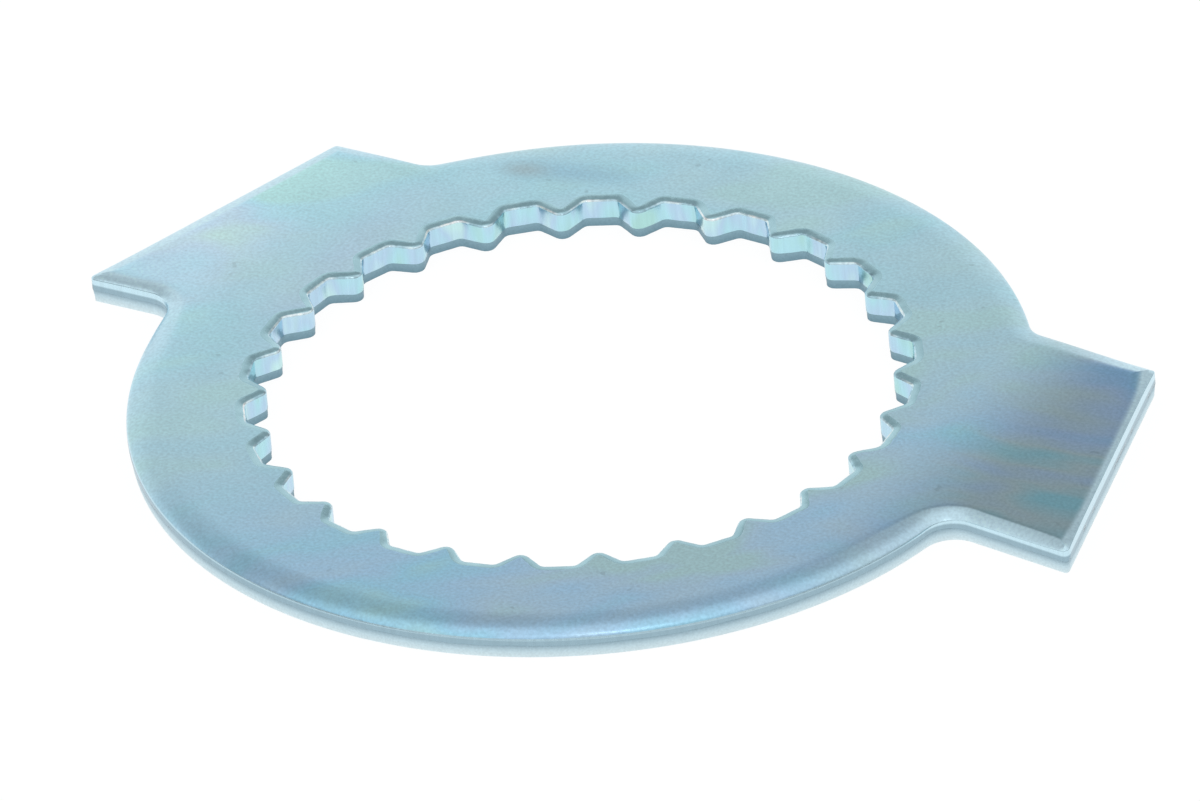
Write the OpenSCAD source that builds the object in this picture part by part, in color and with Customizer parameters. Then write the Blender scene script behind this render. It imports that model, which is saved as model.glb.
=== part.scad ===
// Tab lock washer stamped from one sheet: a flat ring with a toothed hole that
// slides on a splined shaft, and two slanted tabs that fold up against the nut.
// Z is the axis of the hole and z = 0 is the underside. The tabs stand on the
// left and right, as mirror images about the Y axis apart from their length.

/* [Sheet] */
// Thickness of the sheet
sheet = 2; // [1:0.1:4]
// Radius of the round rim
rim_r = 28.5; // [26:0.1:36]

/* [Toothed hole] */
// Number of teeth
tooth_count = 26; // [18:1:30]
// Distance from the axis to the flat at the bottom of a gap
root_r = 21; // [20.2:0.1:23]
// Distance from the axis to a tooth's tip
tip_r = 19.7; // [18.5:0.1:20.5]
// Width of the flat at the bottom of a gap
root_flat = 2.1; // [1:0.1:2.8]
// Radius of a tooth's rounded tip
tip_round = 0.65; // [0.2:0.05:0.9]
// Angle from the Y axis to the middle of the nearest gap
tooth_turn = 0.8; // [0:0.1:6]

/* [Tabs] */
// Width of a tab across its sides
tab_w = 19.7; // [12:0.1:24]
// How far a tab's middle line passes from the axis
tab_shift = 9.2; // [6:0.1:11]
// Length of the right tab beyond the rim's radius, along its middle line
right_tab = 5.8; // [3:0.1:14]
// Length of the left tab beyond the rim's radius, along its middle line
left_tab = 2.9; // [2:0.1:14]
// Angle by which a tab's sides droop from the X axis
tab_droop = 3.9; // [0:0.1:10]
// Angle by which a tab's end edge slants from square
end_slant = 20; // [0:0.5:25]
// Radius in the corner between a tab and the rim
corner_r = 2; // [0.5:0.1:4]

/* [Stamped edges] */
// Width of the rounded top edge that the press drew down along the outline
roll_w = 1.8; // [0.6:0.1:2.4]
// Depth of that rounded edge, in percent of the sheet
roll_depth = 38; // [10:1:45]
// Height of the torn lower part of the outline's edge, in percent of the sheet
torn_height = 44; // [20:1:50]
// How far a torn edge draws back at the underside
torn_in = 0.1; // [0.02:0.01:0.2]
// Width of the eased top edge of the teeth
tooth_roll = 0.2; // [0.05:0.01:0.3]
// Height of the torn lower part of the hole's wall, in percent of the sheet
tooth_torn = 30; // [10:1:50]

/* [Hidden] */
$fn = 180;
roll_steps = 8;
tip_steps = 8;
// Spare length by which a cutter passes the faces that it cuts
past = 1;
// Angle by which a corner's web stops short of touching the rim and the tab's
// side, so that it meets them at a clean edge
web_short = 8;

pitch = 360 / tooth_count;
roll_d = sheet * roll_depth / 100;
torn_h = sheet * torn_height / 100;
tooth_torn_h = sheet * tooth_torn / 100;
// Distances of a tab's two sides from the axis
near_side = tab_shift - tab_w / 2;
far_side = tab_shift + tab_w / 2;
// How far a corner's web reaches into the flat of the ring and the tab
web_in = roll_w + past;

// The stamped edge from the underside up, as [inset from the outline, height]
edge = concat(
    [[torn_in, 0], [0, torn_h]],
    [for (i = [0 : roll_steps])
        let (a = 90 * (1 - i / roll_steps))
        [roll_w * (1 - sin(a)), sheet - roll_d * (1 - cos(a))]]
);

function ray(a) = [cos(a), sin(a)];
function turn(p, a) = [p.x * cos(a) - p.y * sin(a), p.x * sin(a) + p.y * cos(a)];
function reversed(list) = [for (i = [len(list) - 1 : -1 : 0]) list[i]];

// Outline of one tooth that points down the Y axis, from its right root corner
// round the tip to its left one. The flanks are tangents to the tip's circle.
function tooth() =
    let (
        corner = turn([root_flat / 2, root_r], pitch / 2),
        tip = [0, tip_r + tip_round],
        flank = tip - corner,
        half_arc = asin(tip_round / norm(flank)) - atan2(flank.y, flank.x)
    )
    concat(
        [[-corner.x, corner.y]],
        [for (i = [0 : tip_steps])
            tip + tip_round * turn([0, -1], half_arc * (1 - 2 * i / tip_steps))],
        [corner]
    );

// Outline of the whole toothed hole
function hole_outline() = [
    for (k = [0 : tooth_count - 1])
        for (p = tooth()) turn(p, tooth_turn + (k + 0.5) * pitch)
];

// Centre of the rounded corner between the rim and a tab's side. outward is 1 for
// the side far from the axis and -1 for the near one.
function corner_centre(side, outward) =
    let (v = side + outward * corner_r)
    [sqrt(pow(rim_r + corner_r, 2) - v * v), v];

// Inmost point of that corner's web, in the flat of both the ring and the tab
function web_inmost(side, outward) =
    let (v = side - outward * web_in)
    [sqrt(pow(rim_r - web_in, 2) - v * v), v];

// Round plate with the stamped edge on its rim
module disc() {
    rotate_extrude()
        polygon(concat(
            [[0, 0]],
            [for (p = edge) [rim_r - p.x, p.y]],
            [[0, sheet]]
        ));
}

// Plate from the axis to a tab's end: its section across the two sides, cut off
// by its section across the slanted end
module tab_plate(length) {
    reach = rim_r + length;
    end_d = reach * cos(end_slant) + tab_shift * sin(end_slant);
    span = 2 * (reach + tab_w);
    intersection() {
        rotate([90, 0, 90])
            linear_extrude(span)
                polygon(concat(
                    [for (p = edge) [far_side - p.x, p.y]],
                    reversed([for (p = edge) [near_side + p.x, p.y]])
                ));
        rotate(end_slant)
            translate([0, span / 2, 0])
                rotate([90, 0, 0])
                    linear_extrude(span)
                        polygon(concat(
                            [[-tab_w, 0]],
                            [for (p = edge) [end_d - p.x, p.y]],
                            [[-tab_w, sheet]]
                        ));
    }
}

// Web that rounds the corner between the rim and a tab's side
module corner_web(side, outward) {
    centre = corner_centre(side, outward);
    to_rim = atan2(centre.y, centre.x) + 180 + outward * web_short;
    to_side = -outward * (90 + web_short);
    reach = corner_r + web_in;
    difference() {
        linear_extrude(sheet)
            polygon([
                centre,
                centre + reach * ray(to_rim),
                web_inmost(side, outward),
                centre + reach * ray(to_side)
            ]);
        translate(centre)
            rotate_extrude()
                polygon(concat(
                    [[0, -past], [corner_r + torn_in, -past]],
                    [for (p = edge) [corner_r + p.x, p.y]],
                    [[corner_r + roll_w, sheet + past], [0, sheet + past]]
                ));
    }
}

// Right tab of the given length, with its two rounded corners
module tab(length) {
    rotate(-tab_droop) {
        tab_plate(length);
        corner_web(near_side, -1);
        corner_web(far_side, 1);
    }
}

// Widening of the hole: it has the hole's own outline at height z, has grown by
// widen at z + rise, and goes on for one more rise at both ends
module hole_flare(z, rise, widen) {
    share = widen / root_r;
    translate([0, 0, z - rise])
        linear_extrude(3 * rise, scale = (1 + 2 * share) / (1 - share))
            scale(1 - share) polygon(hole_outline());
}

// The toothed hole, with the eased top edge and the torn lower wall
module toothed_hole() {
    translate([0, 0, -past])
        linear_extrude(sheet + 2 * past) polygon(hole_outline());
    hole_flare(sheet - tooth_roll, tooth_roll, tooth_roll);
    mirror([0, 0, 1]) hole_flare(-tooth_torn_h, tooth_torn_h, torn_in);
}

module lock_washer() {
    color([0.63, 0.75, 0.8])
        difference() {
            union() {
                disc();
                tab(right_tab);
                mirror([1, 0, 0]) tab(left_tab);
            }
            toothed_hole();
        }
}

lock_washer();
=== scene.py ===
import bpy
import bmesh
import math
from mathutils import Matrix, Vector, geometry, noise


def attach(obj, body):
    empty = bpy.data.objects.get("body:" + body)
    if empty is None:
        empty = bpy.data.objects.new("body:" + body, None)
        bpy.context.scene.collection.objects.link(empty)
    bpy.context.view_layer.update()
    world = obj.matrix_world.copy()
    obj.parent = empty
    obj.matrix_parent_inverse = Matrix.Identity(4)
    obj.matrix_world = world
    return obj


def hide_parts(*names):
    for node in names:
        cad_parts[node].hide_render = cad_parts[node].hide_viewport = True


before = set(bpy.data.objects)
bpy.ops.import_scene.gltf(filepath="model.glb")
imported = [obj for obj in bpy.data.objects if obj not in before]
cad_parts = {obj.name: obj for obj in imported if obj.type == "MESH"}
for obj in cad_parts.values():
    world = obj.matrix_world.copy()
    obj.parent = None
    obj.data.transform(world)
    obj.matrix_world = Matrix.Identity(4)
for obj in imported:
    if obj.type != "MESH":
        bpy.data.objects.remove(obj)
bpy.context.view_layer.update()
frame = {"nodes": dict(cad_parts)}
print("frame loaded:", ", ".join(frame["nodes"]))

mm = 0.001


def hexToLinear(code):
    # sRGB hex to the linear colour that Blender's sockets take
    parts = [int(code[i:i + 2], 16) / 255 for i in (1, 3, 5)]
    return tuple(c / 12.92 if c <= 0.04045 else ((c + 0.055) / 1.055) ** 2.4 for c in parts) + (1.0,)


def metres(sizes):
    return [size * mm for size in sizes]


def ray(degrees):
    a = math.radians(degrees)
    return Vector((math.cos(a), math.sin(a)))


def turned(v, degrees):
    c, s = ray(degrees)
    return Vector((v.x * c - v.y * s, v.x * s + v.y * c))


def wave(place, level, size):
    # smooth noise from -1 to 1 with bumps of the given size
    return noise.noise(Vector((place.x, place.y, level)) / size)


# Washer outline, in mm and degrees: the sizes of the stamping
washer = {
    "sheet": 2.0,
    "rimRadius": 28.5,
    "tabWidth": 19.7,
    "tabShift": 9.2,        # distance of a tab's middle line from the axis
    "rightTab": 5.8,        # length past the rim's radius
    "leftTab": 2.9,
    "tabDroop": 3.9,        # turn of a tab's sides from X
    "endSlant": 20.0,       # turn of its end from square
    "cornerRadius": 2.0,    # hollow corner between tab and rim
    "tipRadius": 0.35,      # blunted outer corner of a tab
    "spacing": 0.35,        # between points along the outline
    "weld": 0.0005,         # points closer than this are one
    "creaseAngle": 38.0,    # edges that bend more than this are shaded sharp
}

# Stamped edge of the outline, in mm
outerEdge = {
    # width, depth and power of the top edge that the press draws down: 2 is an even round, nearer 1 a bevel
    "rimRoll": (2.1, 0.8, 2.0),
    "rightTab": {"near": (0.9, 0.46, 1.2), "end": (0.85, 0.14, 2.0), "far": (1.5, 0.45, 1.6)},
    "leftTab": {"near": (1.3, 0.35, 2.0), "end": (1.3, 0.42, 1.4), "far": (1.2, 0.42, 1.4)},
    "blendPasses": 60,      # smoothing of the roll along the outline
    "rollRows": 14,
    "lipRows": 2,           # lowest rows of the roll, which the die also rubs smooth
    "burnishRows": 3,
    "tearRows": 7,
    "tearHeight": 0.88,     # top of the torn zone
    "tearWander": 0.09,     # how far that line rises and falls
    "tearIn": 0.1,          # draw back at the underside
    "tearRough": 0.05,
    "step": 0.015,          # the torn zone starts this far in
    "hold": 0.2,            # flat strip that keeps the top's shading level
    "wallHold": 0.03,       # upright strip that does the same at the top of the wall
    "finish": {"torn": "tornRimZinc", "wall": "burnishedRimZinc", "lip": "burnishedRimZinc",
               "roll": "zincPlate"},
}


# An outline point is a function that gives its place at an inset into the metal, and the roll there.
def arcPoints(centre, radius, start, end, side, roll):
    # side 1: metal lies inside the arc, -1: the arc is hollow
    count = max(3, math.ceil(abs(math.radians(end - start)) * radius / washer["spacing"]))
    outs = [ray(start + (end - start) * i / count) for i in range(count + 1)]
    return [(lambda inset, out=out: centre + out * (radius - side * inset), roll) for out in outs]


def tipPoints(apex, startOut, endOut, roll):
    # small convex corner between two edges; past its radius the inset edges meet at a mitre
    mitre = (startOut + endOut) / (1 + startOut.dot(endOut))
    radius = washer["tipRadius"]
    start, end = (math.degrees(math.atan2(v.y, v.x)) for v in (startOut, endOut))
    arc = arcPoints(apex - mitre * radius, radius, start, end, 1, roll)
    return [(lambda inset, place=place: place(inset) if inset < radius else apex - mitre * inset, roll)
            for place, _ in arc]


def linePoints(first, last, roll):
    # inner points of the straight edge between two outline points
    count = max(2, math.ceil((last[0](0) - first[0](0)).length / washer["spacing"]))
    return [(lambda inset, share=i / count: first[0](inset).lerp(last[0](inset), share), roll)
            for i in range(1, count)]


def mapped(points, change):
    return [(lambda inset, place=place: change(place(inset)), roll) for place, roll in points]


def cornerCentre(side, outward):
    v = side + outward * washer["cornerRadius"]
    return Vector((math.sqrt((washer["rimRadius"] + washer["cornerRadius"]) ** 2 - v * v), v))


nearSide = washer["tabShift"] - washer["tabWidth"] / 2
farSide = washer["tabShift"] + washer["tabWidth"] / 2
nearCentre = cornerCentre(nearSide, -1)
farCentre = cornerCentre(farSide, 1)
nearAngle = math.degrees(math.atan2(nearCentre.y, nearCentre.x))
farAngle = math.degrees(math.atan2(farCentre.y, farCentre.x))


def tabOutline(tab):
    # from the rim along the near side, the end and the far side, back to the rim
    near, end, far = (Vector(outerEdge[tab][side]) for side in ("near", "end", "far"))
    radius = washer["cornerRadius"]
    slant = ray(washer["endSlant"])
    endDistance = (washer["rimRadius"] + washer[tab]) * slant.x + washer["tabShift"] * slant.y
    nearTip, farTip = (Vector(((endDistance - v * slant.y) / slant.x, v)) for v in (nearSide, farSide))
    nearCorner = arcPoints(nearCentre, radius, nearAngle + 180, 90, -1, near)
    farCorner = arcPoints(farCentre, radius, -90, farAngle - 180, -1, far)
    nearBlunt = tipPoints(nearTip, Vector((0, -1)), slant, near)
    farBlunt = tipPoints(farTip, slant, Vector((0, 1)), far)
    points = nearCorner + linePoints(nearCorner[-1], nearBlunt[0], near) + nearBlunt
    points += linePoints(nearBlunt[-1], farBlunt[0], end) + farBlunt
    points += linePoints(farBlunt[-1], farCorner[0], far) + farCorner
    return mapped(points, lambda v: turned(v, -washer["tabDroop"]))


def rimOutline(start, end):
    # round stretch between two tabs, without the two points that the tabs already have
    return arcPoints(Vector((0, 0)), washer["rimRadius"], start, end, 1, Vector(outerEdge["rimRoll"]))[1:-1]


def wholeOutline():
    droop = washer["tabDroop"]
    points = tabOutline("rightTab") + rimOutline(farAngle - droop, 180 - farAngle + droop)
    points += mapped(tabOutline("leftTab")[::-1], lambda v: Vector((-v.x, v.y)))
    points += rimOutline(180 - nearAngle + droop, 360 + nearAngle - droop)
    rolls = [roll for _, roll in points]
    for _ in range(outerEdge["blendPasses"]):    # the roll changes gradually from tab to rim
        rolls = [(rolls[i - 1] + 2 * r + rolls[(i + 1) % len(rolls)]) / 4 for i, r in enumerate(rolls)]
    return [(place, roll) for (place, _), roll in zip(points, rolls)]


# Torn zone of every edge, sizes in mm: how its upper line wanders and its face is broken up
tear = {
    "longWave": 2.6,
    "shortWave": 0.8,
    "shortShare": 0.5,      # height of the short wave against the long one
    "shortLevel": 9.0,      # level of the noise that the short wave is taken from
    "grain": 0.28,
    "calm": 0.4,            # share of the roughness that is left at the zone's two borders
    "stepRise": 0.03,       # height of the small step out to the burnished wall
}


def edgeRows(place, edge, roll, depth, power):
    # inset and height from the underside up: torn, burnished, rolled, then flat
    wander = wave(place, 0.0, tear["longWave"])
    wander += tear["shortShare"] * wave(place, tear["shortLevel"], tear["shortWave"])
    tearTop = edge["tearHeight"] + edge["tearWander"] * wander
    rows = []
    for i in range(edge["tearRows"] + 1):
        h = i / edge["tearRows"]
        rough = edge["tearRough"] * (0.5 + 0.5 * wave(place, h * tearTop, tear["grain"]))
        rough *= tear["calm"] + (1 - tear["calm"]) * math.sin(math.pi * h)
        rows.append((edge["step"] + edge["tearIn"] * (1 - h) + rough, h * tearTop))
    low = tearTop + tear["stepRise"]
    high = washer["sheet"] - depth
    rise = high - edge["wallHold"] - low
    rows += [(0.0, low + rise * i / edge["burnishRows"]) for i in range(edge["burnishRows"] + 1)]
    for i in range(edge["rollRows"] + 1):
        a = math.radians(90 * i / edge["rollRows"])
        rows.append((roll * (1 - math.cos(a) ** (2 / power)), high + depth * math.sin(a) ** (2 / power)))
    return rows + [(roll + edge["hold"], washer["sheet"])]


outline = wholeOutline()
outerColumns = []
for place, roll in outline:
    outerColumns.append([(place(inset), z) for inset, z in edgeRows(place(0), outerEdge, *roll)])
print("outline:", len(outline), "points of", len(outerColumns[0]), "rows")

# Toothed hole, in mm
teeth = {
    "count": 26,
    "rootRadius": 21.0,     # to the flat of a gap
    "tipRadius": 19.7,
    "rootFlat": 2.1,
    "tipRound": 0.65,
    "rootRound": 0.45,      # small radius beside the gap's flat
    "turn": 0.8,            # degrees from the mirror line to the nearest gap
    "spacing": 0.22,
}

# Stamped edge of the teeth, in mm, with the same meanings as on the outline
toothEdge = {
    "gapRoll": (0.6, 0.17),     # width and depth of the rolled top edge
    "noseRoll": (0.5, 0.22),    # the metal drags further over at a tooth's nose
    "rollPower": 1.8,
    "uneven": 0.1,              # share by which the roll varies from spot to spot
    "unevenWave": 0.4,
    "unevenLevel": 4.0,
    "rollRows": 10,
    "lipRows": 4,
    "burnishRows": 4,
    "tearRows": 5,
    "tearHeight": 0.6,
    "tearWander": 0.06,
    "tearIn": 0.03,
    "tearRough": 0.05,
    "step": 0.01,
    "hold": 0.08,
    "wallHold": 0.03,
    # the roll's finish carries painted shade and the lip's finish carries painted glints
    "finish": {"torn": "tornToothZinc", "wall": "burnishedToothZinc", "lip": "paintedGlintLipZinc",
               "roll": "shadedRollToothZinc"},
}


def straightRun(first, last, spacing):
    count = max(1, math.ceil((last[0] - first[0]).length / spacing))
    return [(first[0].lerp(last[0], k / count), first[1]) for k in range(1, count)]


def filletedLoop(corners, spacing):
    # corners as (place, radius), anticlockwise; gives places and directions to the right
    points = []
    for i, (here, radius) in enumerate(corners):
        before = (here - corners[i - 1][0]).normalized()
        after = (corners[(i + 1) % len(corners)][0] - here).normalized()
        bend = math.atan2(before.x * after.y - before.y * after.x, before.dot(after))
        reach = radius * math.tan(abs(bend) / 2)
        side = 1 if bend > 0 else -1
        centre = here - before * reach + side * radius * Vector((-before.y, before.x))
        count = max(3, math.ceil(abs(bend) * radius / spacing))
        first = Vector((before.y, -before.x))
        arc = [turned(first, math.degrees(bend) * k / count) for k in range(count + 1)]
        arc = [(centre + side * radius * out, out) for out in arc]
        if points:
            points += straightRun(points[-1], arc[0], spacing)
        points += arc
    return points + straightRun(points[-1], points[0], spacing)


def holeOutline():
    pitch = 360 / teeth["count"]
    corner = turned(Vector((teeth["rootFlat"] / 2, teeth["rootRadius"])), pitch / 2)
    centre = Vector((0, teeth["tipRadius"] + teeth["tipRound"]))
    flank = centre - corner
    # the flanks touch the tip's circle, so their meeting point lies straight below it
    slope = math.atan2(flank.y, flank.x) - math.asin(teeth["tipRound"] / flank.length)
    apex = Vector((0, corner.y - corner.x * math.tan(slope)))
    tooth = (
        (Vector((-corner.x, corner.y)), teeth["rootRound"]),
        (apex, teeth["tipRound"]),
        (corner, teeth["rootRound"]),
    )
    corners = []
    for k in range(teeth["count"]):
        angle = teeth["turn"] + (k + 0.5) * pitch
        corners += [(turned(place, angle), radius) for place, radius in tooth]
    return filletedLoop(corners, teeth["spacing"])


holePoints = holeOutline()
innerColumns = []
for place, out in holePoints:
    share = (place.length - teeth["tipRadius"]) / (teeth["rootRadius"] - teeth["tipRadius"])
    vary = 1 + toothEdge["uneven"] * wave(place, toothEdge["unevenLevel"], toothEdge["unevenWave"])
    roll, depth = (vary * (nose * (1 - share) + gap * share)
                   for nose, gap in zip(toothEdge["noseRoll"], toothEdge["gapRoll"]))
    rows = edgeRows(place, toothEdge, roll, depth, toothEdge["rollPower"])
    innerColumns.append([(place + out * inset, z) for inset, z in rows])
print("toothed hole:", len(holePoints), "points of", len(innerColumns[0]), "rows")


def insideLoop(place, loop):
    inside = False
    for a, b in zip(loop, loop[1:] + loop[:1]):
        if (a.y > place.y) != (b.y > place.y):
            if place.x < a.x + (place.y - a.y) * (b.x - a.x) / (b.y - a.y):
                inside = not inside
    return inside


def ringTriangles(outerLoop, innerLoop):
    # triangles of the flat ring between the two loops, as indices into both lists
    n, m = len(outerLoop), len(innerLoop)
    edges = [(i, (i + 1) % n) for i in range(n)] + [(n + i, n + (i + 1) % m) for i in range(m)]
    insideOnly, closeness = 1, 1e-6
    found = geometry.delaunay_2d_cdt(outerLoop + innerLoop, edges, [], insideOnly, closeness)
    triangles = []
    for face in found[2]:
        middle = sum((found[0][i] for i in face), Vector((0, 0))) / len(face)
        if insideLoop(middle, outerLoop) and not insideLoop(middle, innerLoop):
            triangles.append([found[3][i][0] for i in face])
    return triangles


# Material slots of the washer, in order
slots = (
    "zincPlate",
    "burnishedRimZinc",
    "tornRimZinc",
    "shadedRollToothZinc",
    "burnishedToothZinc",
    "tornToothZinc",
    "paintedGlintLipZinc",
)


def rowFinish(edge, row, lastRow):
    if row == lastRow:
        return "zincPlate"
    top = 0
    for part, rows in (("torn", "tearRows"), ("wall", "burnishRows")):
        top += edge[rows] + 1
        if row < top:
            return edge["finish"][part]
    return edge["finish"]["lip" if row < top + edge["lipRows"] else "roll"]


def edgeFaces(shape, grid, edge, isHole):
    lastRow = len(grid[0]) - 2
    rowSlots = [slots.index(rowFinish(edge, row, lastRow)) for row in range(lastRow + 1)]
    for i, column in enumerate(grid):
        following = grid[(i + 1) % len(grid)]
        for j, slot in enumerate(rowSlots):
            quad = [column[j], following[j], following[j + 1], column[j + 1]]
            face = shape.faces.new(quad[::-1] if isHole else quad)
            face.material_index = slot


def flatFaces(shape, grids, row, facesUp):
    rims = [[column[row] for column in grid] for grid in grids]
    places = [[Vector((v.co.x, v.co.y)) / mm for v in rim] for rim in rims]
    for triangle in ringTriangles(*places):
        face = shape.faces.new([(rims[0] + rims[1])[i] for i in triangle])
        face.normal_update()
        if (face.normal.z > 0) != facesUp:
            face.normal_flip()


def buildWasher():
    shape = bmesh.new()
    grids = []
    for columns in (outerColumns, innerColumns):
        grids.append([[shape.verts.new(metres((p.x, p.y, z))) for p, z in column] for column in columns])
    edgeFaces(shape, grids[0], outerEdge, False)
    edgeFaces(shape, grids[1], toothEdge, True)
    flatFaces(shape, grids, -1, True)
    flatFaces(shape, grids, 0, False)
    bmesh.ops.remove_doubles(shape, verts=shape.verts, dist=washer["weld"] * mm)
    bmesh.ops.dissolve_degenerate(shape, edges=shape.edges, dist=washer["weld"] * mm)
    for face in shape.faces:
        face.smooth = True
    mesh = bpy.data.meshes.new("lockWasher")
    shape.to_mesh(mesh)
    shape.free()
    mesh.set_sharp_from_angle(angle=math.radians(washer["creaseAngle"]))
    piece = bpy.data.objects.new("lockWasher", mesh)
    bpy.context.collection.objects.link(piece)
    return piece


lockWasher = buildWasher()
print("washer mesh:", len(lockWasher.data.polygons), "faces")


def addNode(tree, kind, settings={}, links={}):
    node = tree.nodes.new("ShaderNode" + kind)
    for name, value in settings.items():
        if name == "stops":     # positions and colours of a colour ramp
            elements = node.color_ramp.elements
            while len(elements) < len(value):
                elements.new(0.5)
            for element, (position, colour) in zip(elements, value):
                element.position = position
                element.color = colour
        elif isinstance(name, int) or name in node.inputs:
            node.inputs[name].default_value = value
        else:
            setattr(node, name, value)
    for name, source in links.items():
        tree.links.new(source, node.inputs[name])
    return node


def newMaterial(name):
    material = bpy.data.materials.new(name)
    material.use_nodes = True
    material.node_tree.nodes.clear()
    return material, material.node_tree


def spans(source, result=(0.0, 1.0)):
    # settings that turn one span of values into another
    return {"From Min": source[0], "From Max": source[1], "To Min": result[0], "To Max": result[1]}


def evenStops(colours, span=(0.0, 1.0)):
    # stops of a colour ramp, spread evenly over the span
    low, high = span
    last = len(colours) - 1
    return [(low + (high - low) * i / last, hexToLinear(code)) for i, code in enumerate(colours)]


def heightColour(tree, place, colours, span):
    # colour that changes over a span of heights, in mm above the underside
    height = addNode(tree, "SeparateXYZ", {}, {0: place}).outputs["Z"]
    share = addNode(tree, "MapRange", spans(metres(span)), {"Value": height}).outputs["Result"]
    return addNode(tree, "ValToRGB", {"stops": evenStops(colours)}, {"Fac": share}).outputs["Color"]


noiseSpan = (0.3, 0.7)      # most values of a noise texture lie between these
smoothly = {"interpolation_type": "SMOOTHSTEP"}
colourMix = {"data_type": "RGBA"}       # the colours are inputs 6 and 7, and the mix is output 2

# Bright zinc plate with clear blue passivation on rolled sheet. To the eye: pale blue-grey satin metal with
# a fine even grain. Towards the front and the long tab the film is thicker, with soft lilac, sea green and
# straw. The long tab's darker streaks are partly that thicker film and partly painted shade, standing in for
# the light that falls off towards the right.
plate = {
    "farColour": "#BDE3EA",
    "nearColour": "#BBDCF2",
    # what grows towards the front: its way, the reach in mm and the shares at both ends
    "slopes": {
        "front": {"way": (0.57, -0.82, 0.0), "reach": 24.0, "shares": (0.0, 1.0)},
        "thickFilm": {"way": (0.75, -0.66, 0.0), "reach": 18.0, "shares": (0.26, 0.7)},
    },
    # mm along X over which a tab's own film comes in
    "tabs": {"shortTab": (-23.0, -31.0), "longTab": (22.0, 30.5)},
    # patterns of the film: mm along, across and through a patch, and degrees from X
    "patterns": {
        "patches": {"size": (12.0, 6.0, 5.0), "turn": 40.0},
        "streaks": {"size": (14.0, 5.0, 5.0), "turn": 8.0},
    },
    # colours of the film, and the span of its pattern's noise that they are spread over
    "films": (
        {"where": "shortTab", "pattern": "patches", "span": (0.36, 0.64),
         "colours": ("#CAF6F5", "#CDF3FF", "#D6EEFD", "#D6F5F2")},
        {"where": "thickFilm", "pattern": "patches", "span": (0.34, 0.66),
         "colours": ("#B5E6E6", "#A6E1F9", "#B5DCF9", "#BFDCF0", "#BEE1DF")},
        # partly painted shade: these darker colours also stand in for the light falling off over the long
        # tab
        {"where": "longTab", "pattern": "streaks", "span": (0.31, 0.69),
         "colours": ("#7CB1C0", "#86AED0", "#96B0CC", "#9EB4BB", "#84B5C3")},
    ),
    # stains on the ring: place and size in mm, turn in degrees
    "stains": (
        {"place": (-13.2, 20.3), "size": (6.8, 2.0), "turn": 18.0, "colour": "#A2CBE1", "share": 0.75},
        {"place": (-16.2, 19.4), "size": (2.4, 1.4), "turn": 18.0, "colour": "#AFC5CB", "share": 0.75},
        {"place": (-20.8, 4.0), "size": (3.6, 14.0), "turn": 0.0, "colour": "#BCCFEA", "share": 0.45},
    ),
    "edgeSheenColour": "#D4F1FD",    # painted sheen: a lighter colour on a tab's rolled edges that stands in for the light they catch
    "edgeSheenDepth": (0.0, 0.05),   # mm below the top, where the painted sheen comes in
    "grain": 0.22,              # mm, coarser than the real grain so that it shows
    "grainTones": (0.9, 1.08),
    "specks": {"size": 0.8, "span": (0.75, 0.8), "tones": (1.0, 0.85)},
    "roughPatch": 3.5,          # mm
    "rough": (0.3, 0.38),
    "bump": {"Strength": 0.12, "Distance": 0.01 * mm},
}


def plateShares(tree, place):
    # how much each place on the plate belongs to the front, the thick film, a tab or the painted sheen on a
    # tab's rolled edge
    alongX, _, height = addNode(tree, "SeparateXYZ", {}, {0: place}).outputs
    shares = {}
    for name, slope in plate["slopes"].items():
        ahead = addNode(tree, "VectorMath", {"operation": "DOT_PRODUCT", 1: slope["way"]}, {0: place})
        growth = spans((0.0, slope["reach"] * mm), slope["shares"])
        shares[name] = addNode(tree, "MapRange", smoothly | growth,
                               {"Value": ahead.outputs["Value"]}).outputs["Result"]
    for name, span in plate["tabs"].items():
        shares[name] = addNode(tree, "MapRange", smoothly | spans(metres(span)),
                               {"Value": alongX}).outputs["Result"]
    heights = [washer["sheet"] - depth for depth in plate["edgeSheenDepth"]]
    rolled = addNode(tree, "MapRange", smoothly | spans(metres(heights)), {"Value": height})
    onTab = addNode(tree, "Math", {"operation": "ADD"}, {0: shares["shortTab"], 1: shares["longTab"]})
    shares["tabEdge"] = addNode(tree, "Math", {"operation": "MULTIPLY"},
                                {0: rolled.outputs["Result"], 1: onTab.outputs[0]}).outputs[0]
    return shares


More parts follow.
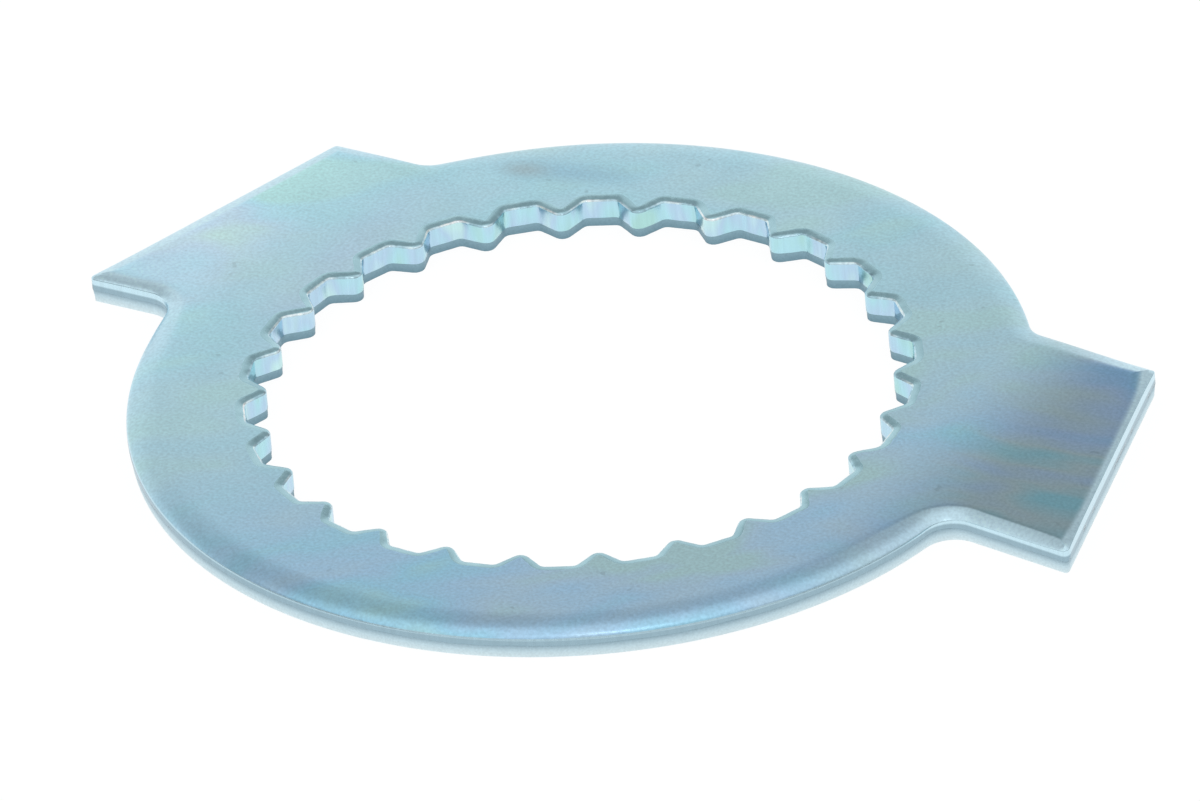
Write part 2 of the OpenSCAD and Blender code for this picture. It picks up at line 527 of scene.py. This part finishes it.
def plateColour(tree, place):
    shares = plateShares(tree, place)
    colour = addNode(tree, "Mix", colourMix | {6: hexToLinear(plate["farColour"]),
                                               7: hexToLinear(plate["nearColour"])},
                     {0: shares["front"]}).outputs[2]
    patterns = {}
    for name, pattern in plate["patterns"].items():
        laid = addNode(tree, "Mapping", {"vector_type": "TEXTURE",
                                         "Rotation": (0, 0, math.radians(pattern["turn"])),
                                         "Scale": metres(pattern["size"])}, {"Vector": place})
        patterns[name] = addNode(tree, "TexNoise",
                                 {"Scale": 1.0, "Detail": 2.0, "Roughness": 0.45, "Distortion": 0.2},
                                 {"Vector": laid.outputs[0]}).outputs["Fac"]
    for film in plate["films"]:
        tint = addNode(tree, "ValToRGB", {"stops": evenStops(film["colours"], film["span"])},
                       {"Fac": patterns[film["pattern"]]}).outputs["Color"]
        colour = addNode(tree, "Mix", colourMix, {0: shares[film["where"]], 6: colour, 7: tint}).outputs[2]
    for stain in plate["stains"]:
        spot = addNode(tree, "Mapping", {"vector_type": "TEXTURE",
                                         "Location": metres(stain["place"] + (washer["sheet"],)),
                                         "Rotation": (0, 0, math.radians(stain["turn"])),
                                         "Scale": metres(stain["size"]) + [1.0]},   # right through the sheet
                       {"Vector": place})
        reach = addNode(tree, "VectorMath", {"operation": "LENGTH"}, {0: spot.outputs[0]})
        cover = addNode(tree, "MapRange", smoothly | spans((1.0, 0.0), (0.0, stain["share"])),
                        {"Value": reach.outputs["Value"]})
        colour = addNode(tree, "Mix", colourMix | {7: hexToLinear(stain["colour"])},
                         {0: cover.outputs["Result"], 6: colour}).outputs[2]
    # painted sheen: the tabs' rolled edges are lightened to stand in for the light they catch
    return addNode(tree, "Mix", colourMix | {7: hexToLinear(plate["edgeSheenColour"])},
                   {0: shares["tabEdge"], 6: colour}).outputs[2]


def zincPlate():
    material, tree = newMaterial("zincPlate")
    place = addNode(tree, "TexCoord").outputs["Object"]
    specks = plate["specks"]
    noises = []
    for size, detail in ((plate["grain"], 2.0), (specks["size"], 1.0), (plate["roughPatch"], 3.0)):
        noises.append(addNode(tree, "TexNoise", {"Scale": 1 / (size * mm), "Detail": detail},
                              {"Vector": place}).outputs["Fac"])
    grain, speckled, patches = noises
    grainTone, speckTone, rough = (
        addNode(tree, "MapRange", spans(*span), {"Value": source}).outputs["Result"]
        for source, span in ((grain, (noiseSpan, plate["grainTones"])),
                             (speckled, (specks["span"], specks["tones"])),
                             (patches, (noiseSpan, plate["rough"]))))
    tone = addNode(tree, "Math", {"operation": "MULTIPLY"}, {0: grainTone, 1: speckTone})
    colour = addNode(tree, "VectorMath", {"operation": "SCALE"},
                     {0: plateColour(tree, place), "Scale": tone.outputs[0]})
    bump = addNode(tree, "Bump", plate["bump"], {"Height": grain})
    shader = addNode(tree, "BsdfPrincipled", {"Metallic": 1.0},
                     {"Base Color": colour.outputs[0], "Roughness": rough, "Normal": bump.outputs[0]})
    addNode(tree, "OutputMaterial", {}, {"Surface": shader.outputs["BSDF"]})
    return material


# Zinc over the wall that the punch rubbed smooth. To the eye: brighter than the face, with soft upright
# changes from sea green through cyan to lilac and fine upright streaks. The lip above the teeth's walls
# has painted glints from spot to spot, white patches that stand in for highlights, and the shoulder above
# the lip is darker with painted shade, standing in for the dark band along the edge. On the rim the
# colour is painted shade and light by height: a dark band low on the wall and lighter above it.
burnish = {
    "toothColours": ("#B2DFDC", "#B6E3EE", "#BAD8EE", "#C8ECEE"),
    # painted shade: a darker colour on the roll above a tooth's lip, for the dark band along the edge
    "shoulderShadeColours": ("#A4CAD4", "#B8DEE7"),
    # painted glints: the bright stops make white patches that stand in for highlights on the lip
    "lipGlintColours": ("#A4C8D4", "#B4D6E2", "#DDF1F8", "#F2FBFF"),
    "rimShadeColours": ("#9BB7C4", "#CBE9F5"),   # painted shade and light, from its lower to its upper edge: dark low on the wall, light at its top
    "rimShadeSpan": (1.22, 1.34),    # mm above the underside
    "tint": 2.0,                # mm across a patch of tint
    "streak": 0.25,             # mm across a streak, coarser than the real ones so that they show
    "height": 5.0,              # mm up a patch or a streak
    "streakTones": (0.94, 1.04),
    "lipGlintTones": (0.8, 1.25),
    "rough": (0.18, 0.28),
    "bump": {"Strength": 0.12, "Distance": 0.02 * mm},
}


def burnishedZinc(name, colours, tones=burnish["streakTones"], span=None):
    # with a span, the colours follow the height in mm, and without one they follow the patches of tint
    material, tree = newMaterial(name)
    place = addNode(tree, "TexCoord").outputs["Object"]
    noises = []
    for width in (burnish["tint"], burnish["streak"]):
        upright = addNode(tree, "Mapping", {"vector_type": "TEXTURE",
                                            "Scale": metres((width, width, burnish["height"]))},
                          {"Vector": place})
        noises.append(addNode(tree, "TexNoise", {"Scale": 1.0, "Detail": 2.0},
                              {"Vector": upright.outputs[0]}).outputs["Fac"])
    tint, streaks = noises
    tone, rough = (addNode(tree, "MapRange", spans(noiseSpan, result), {"Value": streaks}).outputs["Result"]
                   for result in (tones, burnish["rough"]))
    if span:
        tinted = heightColour(tree, place, colours, span)
    else:
        tinted = addNode(tree, "ValToRGB", {"stops": evenStops(colours, noiseSpan)},
                         {"Fac": tint}).outputs["Color"]
    colour = addNode(tree, "VectorMath", {"operation": "SCALE"}, {0: tinted, "Scale": tone})
    bump = addNode(tree, "Bump", burnish["bump"], {"Height": streaks})
    shader = addNode(tree, "BsdfPrincipled", {"Metallic": 1.0},
                     {"Base Color": colour.outputs[0], "Roughness": rough, "Normal": bump.outputs[0]})
    addNode(tree, "OutputMaterial", {}, {"Surface": shader.outputs["BSDF"]})
    return material


# Zinc over the wall that broke away below the cut. To the eye: dull and grainy, with no clear reflection.
# On the rim its colour is painted light and shade, paler towards the underside and darker towards the top;
# on the teeth it is darker, partly its own dull colour and partly painted shade from the shaded hole.
torn = {
    "rimShadeColours": ("#E0F1F6", "#CBE2EB", "#9BB7C4"),    # painted light and shade, from the underside up: pale below, dark at the top
    "rimShadeSpan": (0.0, 0.92),     # mm
    # partly painted shade: darker than the wall, partly the torn zone's own dull colour and partly shade
    # from the shaded table inside the hole, darkest at the underside
    "toothColours": ("#7C9CAA", "#90B1BE"),
    "toothSpan": (0.0, 0.6),
    "grain": 0.14,              # mm
    "grainSpan": (0.32, 0.68),
    "grainTones": (0.93, 1.05),
    "rough": 0.5,
    "bump": {"Strength": 0.25, "Distance": 0.03 * mm},
}


def tornZinc(name, colours, span):
    material, tree = newMaterial(name)
    place = addNode(tree, "TexCoord").outputs["Object"]
    grain = addNode(tree, "TexNoise", {"Scale": 1 / (torn["grain"] * mm), "Detail": 3.0},
                    {"Vector": place}).outputs["Fac"]
    tone = addNode(tree, "MapRange", spans(torn["grainSpan"], torn["grainTones"]), {"Value": grain})
    colour = addNode(tree, "VectorMath", {"operation": "SCALE"},
                     {0: heightColour(tree, place, colours, span), "Scale": tone.outputs["Result"]})
    bump = addNode(tree, "Bump", torn["bump"], {"Height": grain})
    shader = addNode(tree, "BsdfPrincipled", {"Metallic": 1.0, "Roughness": torn["rough"]},
                     {"Base Color": colour.outputs[0], "Normal": bump.outputs[0]})
    addNode(tree, "OutputMaterial", {}, {"Surface": shader.outputs["BSDF"]})
    return material


finishes = {
    "zincPlate": zincPlate(),
    # painted shade and light by height on the rim's burnished and torn walls
    "burnishedRimZinc": burnishedZinc("burnishedRimZinc", burnish["rimShadeColours"], span=burnish["rimShadeSpan"]),
    "tornRimZinc": tornZinc("tornRimZinc", torn["rimShadeColours"], torn["rimShadeSpan"]),
    # painted shade on the teeth's rolled shoulder
    "shadedRollToothZinc": burnishedZinc("shadedRollToothZinc", burnish["shoulderShadeColours"]),
    "burnishedToothZinc": burnishedZinc("burnishedToothZinc", burnish["toothColours"]),
    # partly painted shade on the teeth's torn zone
    "tornToothZinc": tornZinc("tornToothZinc", torn["toothColours"], torn["toothSpan"]),
    # painted glints on the teeth's lip
    "paintedGlintLipZinc": burnishedZinc("paintedGlintLipZinc", burnish["lipGlintColours"], burnish["lipGlintTones"]),
}
for slot in slots:
    lockWasher.data.materials.append(finishes[slot])
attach(lockWasher, "root")
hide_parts("lock_washer")
print("zinc finish applied")

# Camera: long lens from the front right, a little rolled
view = {
    "azimuth": 34.77,       # degrees
    "elevation": 32.67,
    "roll": -5.02,
    "target": (0.869, 0.802, 0.256),    # mm
    "distance": 1.8775,     # m
    "farClip": 20.0,        # m
    "lens": 900.0,          # mm
    "sensor": 36.0,         # mm
}


def turnAbout(axis, degrees):
    return Matrix.Rotation(math.radians(degrees), 4, axis)


camera = bpy.data.objects.new("camera", bpy.data.cameras.new("camera"))
camera.data.lens = view["lens"]
camera.data.sensor_width = view["sensor"]
camera.data.clip_end = view["farClip"]
sight = turnAbout("Z", view["azimuth"]) @ turnAbout("X", 90 - view["elevation"])
camera.matrix_world = (Matrix.Translation(Vector(view["target"]) * mm) @ sight
                       @ Matrix.Translation((0, 0, view["distance"])) @ turnAbout("Z", view["roll"]))
bpy.context.collection.objects.link(camera)
bpy.context.scene.camera = camera

# White table that the washer lies on. Seen straight or in the metal it is mostly plain white, and the rest
# takes the washer's shadow.
table = {
    "half": 3.0,            # m from the middle to an edge
    "drop": 0.05 * mm,      # room under the washer
    "colour": "#F4F5F6",
    "white": 0.88,          # share of plain white
    "glow": 1.06,
}
half = table["half"]
corners = [(-half, -half, 0), (half, -half, 0), (half, half, 0), (-half, half, 0)]
tableMesh = bpy.data.meshes.new("table")
tableMesh.from_pydata(corners, [], [(0, 1, 2, 3)])
floor = bpy.data.objects.new("table", tableMesh)
floor.location.z = -table["drop"]
bpy.context.collection.objects.link(floor)
material, tree = newMaterial("whitePaper")
seen = addNode(tree, "LightPath").outputs
straight = seen["Is Camera Ray"]
for kind in ("Is Glossy Ray", "Is Transmission Ray"):
    straight = addNode(tree, "Math", {"operation": "ADD"}, {0: straight, 1: seen[kind]}).outputs[0]
share = addNode(tree, "Math", {"operation": "MULTIPLY", 1: table["white"]}, {0: straight})
matte = addNode(tree, "BsdfDiffuse", {"Color": hexToLinear(table["colour"])})
glow = addNode(tree, "Emission", {"Strength": table["glow"]})
mix = addNode(tree, "MixShader", {}, {0: share.outputs[0], 1: matte.outputs[0], 2: glow.outputs[0]})
addNode(tree, "OutputMaterial", {}, {"Surface": mix.outputs[0]})
tableMesh.materials.append(material)

# Soft studio light in a pale room: a low strip behind, wide panels above and in front, and a small lamp.
# Places, aims and sizes are in m.
panels = {
    "backStrip": {"place": (-0.09, 0.075, 0.042), "aim": (-0.005, 0.005, 0), "size": (0.467, 0.08),
                  "watts": 0.051},
    "skyPanel": {"place": (0.051, -0.047, 0.203), "aim": (0, 0, 0), "size": (0.87, 0.287), "watts": 0.32},
    "frontPanel": {"place": (0.25, -0.36, 0.16), "aim": (0, 0, 0), "size": (0.9, 0.32), "watts": 0.2},
    "lamp": {"place": (0.146, -0.162, 0.394), "aim": (0, 0, 0), "size": (0.05, 0.05), "watts": 0.04},
}
for name, panel in panels.items():
    light = bpy.data.lights.new(name, "AREA")
    light.shape = "RECTANGLE"
    light.size, light.size_y = panel["size"]
    light.energy = panel["watts"]
    stand = bpy.data.objects.new(name, light)
    stand.location = panel["place"]
    aim = Vector(panel["aim"]) - Vector(panel["place"])
    stand.rotation_euler = aim.to_track_quat("-Z", "Y").to_euler()
    stand.visible_camera = False
    bpy.context.collection.objects.link(stand)

room = {"colour": "#F6FAFC", "strength": 0.48}
world = bpy.data.worlds.new("room")
bpy.context.scene.world = world
world.use_nodes = True
walls = world.node_tree.nodes["Background"].inputs
walls["Color"].default_value = hexToLinear(room["colour"])
walls["Strength"].default_value = room["strength"]
bpy.context.scene.view_settings.view_transform = "Standard"
print("camera, table and lights set")
